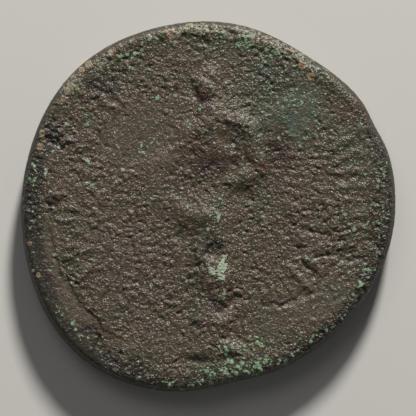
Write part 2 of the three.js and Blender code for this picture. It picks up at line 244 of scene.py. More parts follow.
EMBER_PATCHES = {
    "beside the arm": ((3.4, 4.5), (0.6, 0.5), 0, 0.7),
    "by the elbow": ((4.9, 3.6), (1.6, 0.8), 15, 0.8),
}
# Painted brown shade: darker where the torso, neck, head, waist, hip, folds and hem slope away from the
# lamps, and along parts of the rims and fields.
SHADE_PATCHES = {
    "torso": ((0.2, 3.9), (2.6, 1.5), 0, 0.54),
    "low in the torso": ((0.3, 3.5), (1.9, 1.3), 20, 0.95),
    "side of the chest": ((2.3, 4.4), (0.9, 1.1), 0, 0.78),
    "waist": ((1.2, 0.3), (1.8, 0.8), 0, 0.58),
    "under the arm": ((3.0, 5.0), (0.45, 1.1), 15, 0.65),
    "right of the arm": ((5.8, 4.5), (1.3, 2.0), -5, 0.9),
    "cheek side of the head": ((-0.4, 9.2), (0.7, 1.0), 30, 0.6),
    "top of the head": ((-0.2, 10.9), (0.9, 0.6), 0, 0.5),
    "neck": ((0.0, 8.7), (0.9, 0.6), 0, 0.8),
    "under the hip": ((-1.8, -2.0), (1.3, 0.9), 0, 0.42),
    "down the skirt": ((0.7, -1.0), (0.7, 2.2), 0, 0.55),
    "fold below the knee": ((0.4, -8.1), (1.7, 0.6), -33, 0.85),
    "hem": ((0.6, -9.3), (1.4, 0.6), 0, 0.3),
    "right rim": ((14.1, -0.6), (0.8, 3.6), 0, 0.85),
    "lower right rim": ((13.1, -4.9), (0.8, 1.8), -20, 0.6),
    "left rim": ((-14.2, -0.4), (0.8, 2.0), 0, 0.6),
    "above the lower left rim": ((-9.1, -10.2), (1.3, 0.5), -20, 0.6),
    "left of the lower left rim": ((-9.6, -11.2), (1.9, 1.0), -42, 0.95),
    "upper right field": ((5.4, 10.4), (2.0, 1.6), -20, 0.62),
    "right of the skirt": ((6.8, -1.8), (1.6, 1.2), 0, 0.45),
    "lower right field": ((9.4, -7.2), (2.6, 1.7), 35, 0.5),
}
# Near black stains and painted shade: real pits and chips at the rims, and painted shade under the shoulder
# and the forearm, low in the torso, right of the arm, under the hip, in the pit over the knee and below the
# knee's fold.
STAIN_AND_SHADE_PATCHES = {
    "under the shoulder": ((1.75, 6.8), (1.2, 0.42), -22, 1.0),
    "low in the torso": ((0.2, 3.1), (1.3, 0.9), 0, 0.36),
    "right of the arm": ((6.0, 4.4), (0.9, 1.3), 0, 0.4),
    "foot of the crescent": ((2.35, 5.8), (0.42, 0.95), -27, 1.0),
    "under the hip": ((-1.6, -2.3), (1.0, 0.5), -10, 0.3),
    "under the forearm": ((3.3, 1.2), (0.9, 0.8), 30, 0.25),
    "pit over the knee": ((0.55, -3.4), (0.6, 0.6), 0, 0.95),
    "fold below the knee": ((0.9, -8.5), (1.1, 0.4), -30, 0.6),
    "left rim chip": ((-12.9, 6.1), (1.3, 1.5), 0, 1.0),
    "upper left chip": ((-8.7, 10.2), (1.9, 1.3), 30, 0.85),
    "above the lower left rim": ((-7.0, -12.8), (2.8, 0.8), -27, 0.9),
    "left of the lower left rim": ((-9.6, -10.9), (1.7, 0.9), -42, 0.85),
    "top left chip": ((-6.1, 12.9), (0.9, 0.5), 20, 0.8),
    "top chip": ((-1.3, 13.9), (1.0, 0.45), 0, 0.2),
    "left pit": ((-13.3, 0.0), (0.5, 0.45), 0, 0.9),
    "lower left rim": ((-6.6, -13.7), (2.2, 0.6), -27, 0.8),
    "bottom right rim": ((4.4, -13.9), (3.8, 0.5), 15, 0.6),
}
DUST_PATCHES = {
    "waist": ((0.7, 0.1), (1.1, 1.4), 0, 0.7),
    "round the pit": ((0.8, -3.3), (1.1, 1.1), 0, 0.68),
    "left of the plate": ((-0.2, -4.2), (0.5, 0.8), 0, 0.5),
    "strand below the plate": ((1.05, -7.9), (0.5, 1.4), 0, 0.68),
    "under the shoulder": ((2.0, 5.7), (1.5, 0.9), 0, 0.64),
    "lit side of the head": ((0.3, 9.9), (0.5, 0.8), 0, 0.5),
    "beside the shins": ((-0.6, -11.2), (0.6, 1.4), 0, 0.55),
    "feet": ((1.8, -12.2), (2.6, 0.9), 10, 0.6),
    "upper right field": ((5.0, 9.4), (3.2, 3.0), 0, 0.4),
    "top edge": ((5.2, 12.9), (3.2, 1.0), -25, 0.62),
    "top left edge": ((-4.4, 13.2), (3.4, 0.9), 20, 0.5),
    "right field": ((12.6, 1.4), (1.8, 4.4), 0, 0.42),
}
CRUST_PATCHES = {
    "bottom rim": ((3.4, -13.4), (5.0, 1.1), 10, 1.0),
    "by the feet": ((2.2, -12.0), (2.4, 1.2), 10, 0.8),
    "lower right rim": ((12.8, -6.2), (1.0, 2.6), -28, 0.42),
    "bottom right rim": ((7.6, -11.9), (3.2, 0.7), 35, 0.5),
    "left rim": ((-15.0, 0.6), (0.7, 6.5), 0, 0.4),
    "lower left rim": ((-11.5, -9.9), (0.5, 4.4), 42, 0.55),
    "top rim": ((4.2, 13.4), (4.6, 0.8), -18, 0.85),
    "upper left rim": ((-7.2, 12.9), (4.0, 0.9), 32, 0.45),
    "upper right field": ((6.0, 10.2), (2.4, 2.4), 0, 0.22),
    "right field": ((12.6, 1.4), (1.6, 3.4), 0, 0.3),
    "right rim": ((14.7, 1.0), (0.45, 6.0), 0, 0.4),
    "down the skirt": ((0.7, -1.2), (0.8, 2.6), 0, 0.55),
    "below the plate": ((1.15, -7.6), (0.45, 1.3), 0, 0.6),
    "bottom edge": ((-1.4, -15.0), (4.6, 0.45), 4, 1.0),
    "top left edge": ((-9.6, 11.6), (2.6, 0.6), 40, 0.5),
}
PALE_PATCHES = {
    "plate in the fold": ((1.25, -4.95), (0.36, 0.6), -5, 0.9),
    "lobe at its left": ((0.5, -5.3), (0.62, 0.36), -30, 1.0),
    "end of the lobe": ((-0.05, -4.99), (0.16, 0.28), 0, 0.9),
    "strand below": ((1.22, -5.94), (0.2, 0.36), 20, 0.9),
    "tails": ((0.97, -6.32), (0.42, 0.26), 0, 0.75),
    "crumb at the pit": ((0.82, -2.94), (0.12, 0.08), 0, 0.55),
    "crumb right of the pit": ((1.66, -3.6), (0.1, 0.16), 30, 0.45),
    "crumb on the thigh": ((2.14, -6.44), (0.18, 0.12), 0, 0.8),
    "crumb on the shin": ((1.11, -7.32), (0.28, 0.14), 20, 0.75),
    "crumb by the rod": ((-5.56, 5.0), (0.24, 0.16), 30, 0.9),
    "crumb on the chest": ((2.1, 4.9), (0.16, 0.16), 0, 0.9),
    "crumb in the left field": ((-11.2, -4.6), (0.2, 0.14), 0, 0.9),
    "crumb at the left": ((-12.6, 5.4), (0.2, 0.3), 20, 0.8),
    "crumb at the left rim": ((-13.0, 4.6), (0.22, 0.34), 20, 0.9),
    "ring at the left rim": ((-13.6, 2.9), (0.24, 0.3), 0, 0.85),
    "crumb on the left edge": ((-14.8, 3.3), (0.14, 0.3), 0, 0.8),
    "crumb by the upper left row": ((-11.9, 6.95), (0.2, 0.16), 0, 0.8),
    "crumb in the left row": ((-10.1, 3.5), (0.22, 0.16), -20, 0.8),
    "crumb in the right field": ((9.3, -4.2), (0.2, 0.12), 0, 0.8),
}
CREAM_PATCHES = {
    "upper left rim": ((-11.6, 10.3), (1.3, 0.6), 48, 0.75),
    "left of the top": ((-8.6, 12.6), (1.5, 0.45), 35, 0.7),
    "top left crust": ((-3.2, 14.4), (0.75, 0.45), 10, 0.95),
    "top left edge": ((-0.6, 14.9), (2.2, 0.34), 2, 0.7),
}

# Painted shade along the edge, where the wall turns away from the lamps, and a thin painted dark edge all
# round: middle heading, spread, reach inwards and amount.
Rim = namedtuple("Rim", "name heading spread reach amount")
EDGE_SHADES = (
    Rim("lower left", 232, 44, 2.2, 1.0),
    Rim("left", 190, 36, 2.6, 0.95),
    Rim("lower right", 325, 42, 1.9, 0.95),
    Rim("right", 5, 40, 1.6, 0.7),
    Rim("all round", 60, 400, 0.5, 0.75),
)

# Thin lines along the edge of the upper face: cream and green crust, and the dark gap in the cream crust.
Line = namedtuple("Line", "name heading spread inset half amount")
CREAM_LINES = (
    Line("outer line", 64, 14, 0.12, 0.12, 0.85),
    Line("outer band", 84, 9, 0.42, 0.2, 0.7),
    Line("inner line", 84, 11, 1.08, 0.15, 1.0),
    Line("right end of the inner line", 63, 10, 0.74, 0.15, 1.0),
)
GREEN_LINES = (
    Line("right line", 12, 9, 0.56, 0.12, 0.8),
    Line("lower right line", 340, 10, 0.72, 0.15, 1.0),
    Line("bottom right line", 323, 10, 0.48, 0.15, 0.9),
)
GAP_LINES = (
    Line("gap", 84, 10, 0.75, 0.15, 1.0),
    Line("right end of the gap", 64, 11, 0.44, 0.13, 1.0),
)

# Cracks and grooves that corrosion has opened, as cuts.
MARKS = (
    Form("curl of the layer edge", (-11.0, -3.85), (-11.9, -4.4), (0.14, 0.14), (0.06, 0.1)),
    Form("side of the curl", (-11.9, -4.4), (-12.0, -5.5), (0.14, 0.14), (0.1, 0.1)),
    Form("foot of the curl", (-12.0, -5.5), (-11.6, -6.3), (0.14, 0.14), (0.1, 0.1)),
    Form("end of the curl", (-11.6, -6.3), (-10.9, -6.45), (0.14, 0.12), (0.1, 0.06)),
    Form("pit in the left rim", (-13.6, 0.3), (-13.2, 0.0), (0.3, 0.3), (0.14, 0.14)),
    Form("crack at the left", (-13.6, 5.5), (-12.0, 5.1), (0.16, 0.14), (0.1, 0.08)),
    Form("layer edge below the skirt", (4.4, -8.6), (7.7, -7.6), (0.22, 0.26), (0.08, 0.12)),
    Form("layer edge", (7.7, -7.6), (8.9, -6.9), (0.26, 0.2), (0.12, 0.1)),
    Form("layer edge at the right", (8.9, -6.9), (12.2, -3.4), (0.2, 0.26), (0.08, 0.1)),
    Form("groove in the right field", (7.4, -3.9), (8.8, -5.6), (0.24, 0.3), (0.14, 0.16)),
    Form("wrinkle", (8.2, -2.2), (10.4, -2.7), (0.2, 0.24), (0.1, 0.12)),
    Form("long wrinkle", (9.2, -4.0), (12.1, -4.0), (0.2, 0.24), (0.1, 0.12)),
    Form("end of the long wrinkle", (12.1, -4.0), (12.9, -5.0), (0.24, 0.2), (0.12, 0.1)),
    Form("wrinkle at the right rim", (13.5, -2.6), (14.7, -3.1), (0.2, 0.2), (0.12, 0.1)),
    Form("line beside the feet", (-4.0, -12.9), (0.0, -12.95), (0.12, 0.12), (0.05, 0.06)),
    Form("step left of the skirt", (-1.7, -4.8), (-1.4, -9.4), (0.3, 0.3), (0.08, 0.1)),
    Form("step right of the legs", (2.3, -6.4), (2.2, -11.0), (0.26, 0.3), (0.1, 0.1)),
    Form("left of the head", (-1.4, 10.6), (-1.1, 9.2), (0.34, 0.3), (0.12, 0.14)),
)

# Bare copper where the skin has chipped.
Spot = namedtuple("Spot", "place half")
COPPER_SPOTS = (
    Spot((7.9, 11.9), 0.32), Spot((8.6, 11.0), 0.3), Spot((-3.2, 14.7), 0.3), Spot((-8.0, 13.0), 0.25),
    Spot((-10.1, 12.0), 0.3), Spot((-10.7, 11.6), 0.25), Spot((-12.2, 9.1), 0.25), Spot((-14.0, 6.2), 0.28),
    Spot((-14.2, 5.1), 0.28), Spot((-15.05, -3.1), 0.2), Spot((-14.35, -5.75), 0.22),
)

# The finishes, painted shade and painted light that lie only on the upper face, and those that the material
# reads from the mesh.
UPPER_PATCHES = {
    "smooth": SMOOTH_PATCHES, "teal": TEAL_PATCHES, "rust": RUST_PATCHES, "mauve": MAUVE_PATCHES,
    "worn": PAINTED_LIGHT_PATCHES, "ember": EMBER_PATCHES, "shade": SHADE_PATCHES, "dust": DUST_PATCHES,
    "pale": PALE_PATCHES, "cream": CREAM_PATCHES,
}
EDGE_LINES = {"cream": CREAM_LINES, "green": GREEN_LINES, "gap": GAP_LINES}
PAINTED = (
    "smooth", "olive", "green", "pale", "cream", "stain_and_shade", "shade", "dust",
    "mauve", "worn", "ember", "teal", "rust", "copper", "hollow",
)

# Soft noise on the form: size of its features in millimetres, octaves and seed.
Cloud = namedtuple("Cloud", "size octaves seed")
STROKE_DRIFT = Cloud(1.5, 2, 31)
STROKE_WEAR = Cloud(2.6, 2, 33)
PATCH_DRIFT = Cloud(1.1, 2, 20)
TEAL_DRIFT = Cloud(1.3, 3, 14)
STAIN_AND_SHADE_DRIFT = Cloud(0.7, 2, 15)
ROUGH_DRIFT = Cloud(3.5, 2, 9)
WAVES = Cloud(0.9, 2, 3)
SWELLS = Cloud(2.4, 2, 4)
PITS = Cloud(0.5, 2, 7)
STAIN_PITS = Cloud(0.4, 2, 6)
PLATE_EDGES = Cloud(0.3, 1, 13)

# How the skin corrodes, with lengths in millimetres. The finishes of the upper face fade in between two
# heights, and corrosion fades out at the edge. Grains join three kinds of noise, each with its share and its
# size as a part of the grain size.
PATCH_WANDER = 0.3
NEAR_SHARE = 0.4
UPPER_FADE = (2.4, 3.2)
EDGE_FADE = (-0.3, 0.5)
GRAIN_SHARES = {"pebbles": 0.45, "domes": 0.25, "clouds": 0.3}
GRAIN_SIZES = {"domes": 0.9, "clouds": 0.7}
LEAST_COARSE = 0.25
DEPTHS = {"skin": 0.03, "wave": 0.02, "swell": 0.015, "pit": 0.08, "stain_and_shade": 0.12, "gap": 0.1, "least": 0.01}
PLATE_RISE = 0.05
CREAM_RISE = 0.03
WORN_FLAT = {"height": 0.12, "share": 0.6}
Crumb = namedtuple("Crumb", "width rise seed")
FINE_BEAD_RISE = 0.07
BEADS = Crumb(0.46, 0.12, 12)
LARGE_CRUMBS = Crumb(0.42, 0.06, 2)
SMALL_CRUMBS = Crumb(0.25, 0.03, 3)
CRUMB_REACH = 0.62

# Textures of the material: features in each millimetre, detail and roughness.
Texture = namedtuple("Texture", "per_mm detail roughness")
SPECKLE = Texture(3.4, 4.0, 0.65)
TINGE = Texture(0.3, 3.0, 0.55)
DUST = Texture(5.0, 2.0, 0.6)
GRIT = Texture(9.0, 2.0, 0.65)
BEADS_PER_MM = 5.0
BEAD_WARP = {"per_mm": 3.0, "reach": 0.25}
BUMP_DEPTH = 0.04
SPECULAR = 0.8

# The stage, in metres and watts, with the camera's sensor in millimetres.
FLOOR_HALF = 1.5
FLOOR_ROUGHNESS = 0.9
Lamp = namedtuple("Lamp", "name place size")
LAMP_COLOUR = (1.0, 0.97, 0.91)
KEY_LAMP = Lamp("key_lamp", (0.11, 0.52, 0.29), 0.1)
FILL_LAMP = Lamp("fill_lamp", (-0.1, 0.2, 0.35), 0.2)
FILL_POWER = 0.12
SKY_COLOUR = (1.0, 1.0, 1.0, 1.0)
SKY_STRENGTH = 0.07
SENSOR_WIDTH = 36.0
CAMERA_DISTANCE = 0.4
CAMERA_OFFSET = (-0.03 * MM, -0.12 * MM)
CLIP_START = 0.01


def blend(low, high, share):
    return low + (high - low) * share


def ease(low, high, value):
    """0 below low and 1 above high, with a smooth rise between."""
    share = np.clip((value - low) / (high - low), 0.0, 1.0)
    return share * share * (3.0 - 2.0 * share)


def bell(away, half, fall=2.0):
    """1 at zero, falling away round it."""
    return np.exp(-np.abs(away / half) ** fall)


def turn_between(start, end):
    """The angle from one heading to another, between -180 and 180 degrees."""
    return (end - start + 180.0) % 360.0 - 180.0


def edge_radius(heading):
    """Distance from the coin's middle to its edge."""
    angle = np.radians(heading)
    radius = FLAN_RADIUS + FLAN_OFFSET[0] * np.cos(angle) + FLAN_OFFSET[1] * np.sin(angle)
    for lobe in FLAN_LOBES:
        radius = radius + lobe.swell * bell(turn_between(lobe.heading, heading), lobe.spread)
    return radius


def form_rise(form, x, y, fall):
    """How far a tapered form with round ends rises at each point."""
    along_x, along_y = form.end[0] - form.start[0], form.end[1] - form.start[1]
    off_x, off_y = x - form.start[0], y - form.start[1]
    place = (off_x * along_x + off_y * along_y) / (along_x**2 + along_y**2)
    place = np.clip(place, 0.0, 1.0)
    away = np.hypot(off_x - place * along_x, off_y - place * along_y)
    eased = ease(0.0, 1.0, place)
    return blend(*form.rise, eased) * bell(away, blend(*form.half, eased), fall)


def relief_rise(forms, look, x, y):
    """Forms that meet run into each other softly, as in worn relief."""
    total = np.zeros_like(x)
    for form in forms:
        total += form_rise(form, x, y, look.fall) ** look.melt
    return total ** (1.0 / look.melt)


def stroke_row(row):
    """Strokes that stand across the rim, each leaning a little its own way."""
    strokes = []
    for index in range(row.strokes):
        heading = math.radians(row.middle + row.spread * (index / (row.strokes - 1) - 0.5))
        lean = heading + math.radians(STROKE_LEANS[index % len(STROKE_LEANS)])
        middle = Vector((math.cos(heading), math.sin(heading))) * row.radius
        reach = Vector((math.cos(lean), math.sin(lean))) * row.length / 2.0
        ends = tuple(middle - reach), tuple(middle + reach)
        strokes.append(Form(row.name, *ends, (STROKE_HALF,) * 2, (STROKE_RISE,) * 2))
    return strokes


def crown_point(reach, turn):
    return CROWN[0] + reach * math.cos(turn), CROWN[1] + reach * math.sin(turn)


def hair_locks():
    """Short curved cuts in rows round the crown. Every other row starts half a lock further round."""
    cuts = []
    for row in range(LOCKS["rows"]):
        radius = LOCKS["radius"] + row * LOCKS["step"]
        count = LOCKS["first"] + LOCKS["more"] * row
        for lock in range(count):
            share = (lock + 0.5 * (row % 2)) / count
            angle = math.radians(LOCK_ARC["start"] + LOCK_ARC["sweep"] * share)
            root = crown_point(radius, angle)
            tip = crown_point(radius + LOCKS["length"], angle + LOCKS["curl"])
            cuts.append(Form("lock", root, tip, (LOCK_HALF,) * 2, (LOCK_CUT,) * 2))
    return cuts


def cloak_folds():
    cuts = []
    for index in range(FOLD_COUNT):
        head = (FOLD_HEADS["first"] + index * FOLD_HEADS["step"], FOLD_HEADS["up"])
        foot = (FOLD_FEET["first"] + index * FOLD_FEET["step"], FOLD_FEET["up"])
        cuts.append(Form("fold", head, foot, (FOLD_HALF,) * 2, FOLD_CUTS))
    return cuts


def step_share(heading, radius):
    """1 on the smooth band at the lower left, below the edge of the struck layer."""
    inside = ease(STEP["start"], STEP["start"] + STEP["lead"], heading)
    inside = inside * (1.0 - ease(STEP["end"] - STEP["lead"], STEP["end"], heading))
    return inside * ease(STEP["radius"], STEP["radius"] + STEP["blend"], radius)


def upper_height(x, y, heading, kept):
    radius = np.hypot(x, y)
    dish = DISH_DEPTH * ((radius / FLAN_RADIUS) ** 2 - 1.0)
    figure = relief_rise(FIGURE, FIGURE_LOOK, x, y) - relief_rise(FIGURE_CUTS, FIGURE_LOOK, x, y)
    strokes = kept * relief_rise([s for row in UPPER_ROWS for s in stroke_row(row)], CUT_LOOK, x, y)
    edge = bell(turn_between(UPPER_BORDER["heading"], heading), UPPER_BORDER["spread"])
    inset = edge_radius(heading) - radius
    border = UPPER_BORDER["rise"] * edge * bell(inset - UPPER_BORDER["inset"], UPPER_BORDER["half"])
    step = STEP["depth"] * step_share(heading, radius)
    return UPPER_FIELD + dish + figure + strokes + border - step


def lower_height(x, y, heading):
    """What stands out below z = 0 is worn flat there."""
    forward, up = x - BUST_PLACE[0], BUST_PLACE[1] - y
    bust = BUST_CAP * np.tanh(relief_rise(BUST, BUST_LOOK, forward, up) / BUST_CAP)
    cuts = relief_rise([*BUST_CUTS, *hair_locks(), *cloak_folds()], CUT_LOOK, forward, up)
    strokes = relief_rise([s for row in LOWER_ROWS for s in stroke_row(row)], CUT_LOOK, x, y)
    wave = 0.5 + 0.5 * np.cos(LOWER_BORDER["bearings"] * np.radians(heading))
    kept = 1.0 - LOWER_BORDER["wane"] * wave
    inset = edge_radius(heading) - np.hypot(x, y)
    border = LOWER_BORDER["rise"] * kept * bell(inset - LOWER_BORDER["inset"], LOWER_BORDER["half"])
    return np.maximum(0.0, LOWER_FIELD - np.maximum(bust - cuts, 0.0) - strokes - border)


def patch_share(patches, x, y, fall=3.0):
    """The strongest of these soft-edged ovals at each point."""
    share = np.zeros_like(x)
    for place, half, turn, amount in patches.values():
        angle = math.radians(turn)
        off_x, off_y = x - place[0], y - place[1]
        across = off_x * math.cos(angle) + off_y * math.sin(angle)
        along = off_y * math.cos(angle) - off_x * math.sin(angle)
        away = np.hypot(across / half[0], along / half[1])
        share = np.maximum(share, amount * bell(away, 1.0, fall))
    return share


def edge_shade(heading, radius):
    """The strongest of the painted shades that reach inwards from the edge."""
    share = np.zeros_like(radius)
    for rim in EDGE_SHADES:
        near = bell(turn_between(rim.heading, heading), rim.spread, 4.0)
        inwards = 1.0 - ease(0.4 * rim.reach, rim.reach, edge_radius(heading) - radius)
        share = np.maximum(share, rim.amount * near * inwards)
    return share


def line_share(lines, heading, inset):
    """The strongest of these lines, each at its own distance in from the edge."""
    share = np.zeros_like(inset)
    for line in lines:
        along = bell(turn_between(line.heading, heading), line.spread, 4.0)
        share = np.maximum(share, line.amount * along * bell(inset - line.inset, line.half))
    return share


def sample(places, size, pick):
    """One value of a noise function at each place, with features of this size."""
    return np.array([pick(Vector(place)) for place in places / size])


def clouds(places, size, octaves, seed):
    """Soft noise, mostly between -1 and 1, each octave finer and weaker."""
    total = np.zeros(len(places))
    for octave in range(octaves):
        shifted = places + 17.3 * seed + 5.1 * octave
        total += sample(shifted, size / 1.9**octave, noise.noise) * 2.0 / 1.8**octave
    return total


def domes(places, size, seed):
    """Low domes with creases between them: 1 on top of a dome and 0 in a crease."""
    return np.minimum(np.abs(clouds(places, size, 1, seed)) * 1.5, 1.0)


def pebbles(places, size, seed):
    """Rounded grains that touch: 1 on top of each."""
    away = sample(places + 11.3 * seed, size, lambda place: noise.voronoi(place)[0][0])
    return 1.0 - np.minimum(away, 1.0) ** 2


def crumbs(places, crumb, density):
    """Separate crumbs, more of them where they lie densely: 1 on top of each."""
    heights = np.zeros(len(places))
    shifted = places / crumb.width + 13.7 * crumb.seed
    for index in np.nonzero(density > 0.004)[0]:
        away, middles = noise.voronoi(Vector(shifted[index]))
        lot = 0.5 + 0.5 * noise.cell(middles[0] * 61.0)
        if lot < density[index]:
            heights[index] = max(0.0, 1.0 - (away[0] / CRUMB_REACH) ** 2)
    return heights


def drifts(places, cloud, reach, axes):
    """Soft noise of its own for each axis."""
    return [reach * clouds(places, cloud.size, cloud.octaves, cloud.seed + axis) for axis in range(axes)]


def colour_property(name, description, default):
    return FloatVectorProperty(
        name=name, description=description, subtype="COLOR", size=3, default=default, min=0.0, max=1.0
    )


class CoinSettings(bpy.types.PropertyGroup):
    """Sizes and colours of the struck coin."""

    upper_rows: IntProperty(
        name="Upper rows", description="Rows of facets from the middle of the upper face to its rim",
        default=148, min=8, max=150,
    )
    wall_rows: IntProperty(
        name="Wall rows", description="Rows of facets from each face to the waist", default=8, min=2, max=12
    )
    grain_size: FloatProperty(
        name="Grain size", description="Width of the corroded grains", default=0.25 * MM,
        unit="LENGTH", precision=5,
    )
    grain_depth: FloatProperty(
        name="Grain depth", description="Depth of the creases between the grains", default=0.12 * MM,
        unit="LENGTH", precision=5,
    )
    bronze: colour_property("Bronze patina", "Brown-grey skin of the bronze", (0.14, 0.11, 0.076))
    # Also the colour of the painted light patches.
    worn: colour_property("Worn grains", "Paler tops of the grains", (0.26, 0.2, 0.138))
    skin: colour_property(
        "Smooth skin", "Even grey-brown skin where the bronze has no grains", (0.168, 0.136, 0.105)
    )
    hollow: colour_property("Hollows", "Near black corrosion in the hollows", (0.018, 0.0145, 0.009))
    # The colour of the painted shade.
    painted_shade_umber: colour_property("Umber shade", "Dark brown skin in sheltered places", (0.042, 0.028, 0.0165))
    verdigris: colour_property("Verdigris", "Mint green crust", (0.3, 0.5, 0.3))
    cream: colour_property("Cream crust", "Cream crust at the rim", (0.3, 0.28, 0.195))
    pale_crust: colour_property("Pale crust", "Whitish green crust in the dress", (0.36, 0.45, 0.33))
    teal: colour_property("Teal patina", "Dark blue-green skin", (0.117, 0.165, 0.117))
    rust: colour_property("Cuprite", "Red-brown skin", (0.125, 0.055, 0.036))
    ruddy: colour_property("Ruddy beads", "Beads with a red-brown tinge", (0.19, 0.112, 0.078))
    mauve: colour_property("Mauve skin", "Greyish red-brown skin in the open fields", (0.178, 0.13, 0.11))
    olive: colour_property("Olive beads", "Beads with a green tinge", (0.098, 0.112, 0.062))
    copper: colour_property("Bare copper", "Bright metal where the skin has chipped", (0.32, 0.15, 0.075))


class StageSettings(bpy.types.PropertyGroup):
    """Floor, lamps and camera."""

    floor: colour_property("Floor", "Plain pale floor", (0.74, 0.73, 0.71))
    key_power: FloatProperty(
        name="Key lamp", description="Power of the soft lamp beyond the figure's head",
        default=4.4, min=0.0, unit="POWER",
    )
    view_width: FloatProperty(
        name="View width", description="Width of what the camera sees at the coin's face",
        default=35.04 * MM, min=0.01, unit="LENGTH",
    )


def hexagon(bm, rows, level):
    """A flat disc of six sectors cut into rows of triangles, and its rim."""
    bmesh.ops.create_circle(
        bm, cap_ends=True, cap_tris=True, segments=6, radius=1.0,
        matrix=Matrix.Translation((0.0, 0.0, level)),
    )
    edges = [edge for edge in bm.edges if edge.verts[0].co.z == level]
    bmesh.ops.subdivide_edges(bm, edges=edges, cuts=rows - 1, use_grid_fill=True)
    return [edge for edge in bm.edges if edge.is_boundary and edge.verts[0].co.z == level]


def extrude_rim(bm, rim, rows, drop):
    """Draws the rim out in rows of quads towards the waist."""
    for _ in range(rows):
        made = bmesh.ops.extrude_edge_only(bm, edges=rim)["geom"]
        verts = [item for item in made if isinstance(item, bmesh.types.BMVert)]
        bmesh.ops.translate(bm, verts=verts, vec=(0.0, 0.0, drop / rows))
        rim = [item for item in made if isinstance(item, bmesh.types.BMEdge) and item.is_boundary]
    return rim


def unrolled_coin(upper_rows, wall_rows):
    """Both faces as flat hexagons one above the other, with a wall between. The level runs from 1 at the
    upper face through 0 at the waist to -1 at the lower face."""
    bm = bmesh.new()
    upper_rim = hexagon(bm, upper_rows, 1.0)
    lower_rim = hexagon(bm, upper_rows // 2, -1.0)
    waist = extrude_rim(bm, upper_rim, wall_rows, -1.0)
    lower_waist = extrude_rim(bm, lower_rim, wall_rows // 2, 1.0 - 1.0 / wall_rows)
    bmesh.ops.bridge_loops(bm, edges=waist + lower_waist)
    bmesh.ops.triangulate(bm, faces=bm.faces[:])
    return bm


def hexagon_place(x, y):
    """Share of the way from the middle to the rim, and the heading, running evenly along each side."""
    angle = np.degrees(np.arctan2(y, x))
    middle = np.round(angle / 60.0) * 60.0
    turn = np.radians(middle)
    out = x * np.cos(turn) + y * np.sin(turn)
    side = y * np.cos(turn) - x * np.sin(turn)
    share = out / math.cos(math.radians(30.0))
    return np.clip(share, 0.0, 1.0), (middle + 60.0 * side / np.maximum(share, 1e-9)) % 360.0


def struck_places(flat):
    """Places on the struck coin, in millimetres, of the unrolled mesh's points."""
    share, heading = hexagon_place(flat[:, 0], flat[:, 1])
    angle = np.radians(heading)
    face = edge_radius(heading) - EDGE_INSET
    x, y = share * face * np.cos(angle), share * face * np.sin(angle)
    level = flat[:, 2]
    flat_places = np.column_stack((x, y, level))
    off_x, off_y = drifts(flat_places, STROKE_DRIFT, STROKE_WANDER, 2)
    kept = ease(-0.5, 0.7, clouds(flat_places, *STROKE_WEAR))
    upper = upper_height(x + off_x, y + off_y, heading, kept)
    height = np.where(level > 0.0, upper, lower_height(x, y, heading))
    rounding = (1.0 - np.abs(level)) * math.pi / 2.0
    reach = EDGE_INSET * np.sin(rounding) ** EDGE_FULLNESS
    keep = np.maximum(np.cos(rounding), 0.0) ** EDGE_FULLNESS
    wall = np.abs(level) < 1.0
    x = np.where(wall, x + reach * np.cos(angle), x)
    y = np.where(wall, y + reach * np.sin(angle), y)
    z = np.where(wall, blend(WAIST_HEIGHT, height, keep), height)
    return np.column_stack((x, y, z))


def read_vectors(items, name):
    values = np.empty(len(items) * 3)
    items.foreach_get(name, values)
    return values.reshape(-1, 3)


def write_places(mesh, places):
    mesh.vertices.foreach_set("co", (places * MM).ravel())
    mesh.update()


def write_mask(mesh, name, values):
    layer = mesh.attributes.new(name, "FLOAT", "POINT")
    layer.data.foreach_set("value", np.clip(values, 0.0, 1.0).astype(np.float32))


Skin = namedtuple("Skin", "places wander near heading radius top")


def read_skin(mesh):
    """The points of the struck form, and the same places pushed about, which gives finishes ragged edges."""
    places = read_vectors(mesh.vertices, "co") / MM
    x, y, z = places.T
    wander = places + np.column_stack(drifts(places, PATCH_DRIFT, PATCH_WANDER, 3))
    near = blend(places, wander, NEAR_SHARE)
    heading = np.degrees(np.arctan2(y, x)) % 360.0
    return Skin(places, wander, near, heading, np.hypot(x, y), ease(*UPPER_FADE, z))


def copper_share(x, y):
    share = np.zeros_like(x)
    for spot in COPPER_SPOTS:
        share = np.maximum(share, bell(np.hypot(x - spot.place[0], y - spot.place[1]), spot.half))
    return share


def finish_masks(skin):
    """How strongly each finish, the painted shade and the painted light lie at each point."""
    wx, wy = skin.wander[:, 0], skin.wander[:, 1]
    inset = edge_radius(skin.heading) - np.hypot(wx, wy)
    masks = {name: patch_share(patches, wx, wy) * skin.top for name, patches in UPPER_PATCHES.items()}
    lines = {name: line_share(group, skin.heading, inset) * skin.top for name, group in EDGE_LINES.items()}
    masks["smooth"] = np.maximum(masks["smooth"], step_share(skin.heading, skin.radius) * skin.top)
    masks["teal"] *= 0.85 + 0.3 * clouds(skin.places, *TEAL_DRIFT)
    masks["cream"] = np.maximum(masks["cream"], lines["cream"])
    masks["crust"] = np.maximum(patch_share(CRUST_PATCHES, wx, wy), lines["green"])
    masks["gap"] = lines["gap"]
    masks["olive"] = patch_share(OLIVE_PATCHES, wx, wy)
    masks["coarse"] = np.maximum(LEAST_COARSE, patch_share(COARSE_PATCHES, wx, wy, 2.0))
    # Near black stains, together with painted shade under the figure's forms.
    masks["stain_and_shade"] = patch_share(STAIN_AND_SHADE_PATCHES, wx, wy, 2.0) * skin.top
    masks["stain_and_shade"] *= 0.9 + 0.5 * clouds(skin.places, *STAIN_AND_SHADE_DRIFT)
    masks["copper"] = copper_share(skin.places[:, 0], skin.places[:, 1])
    return masks


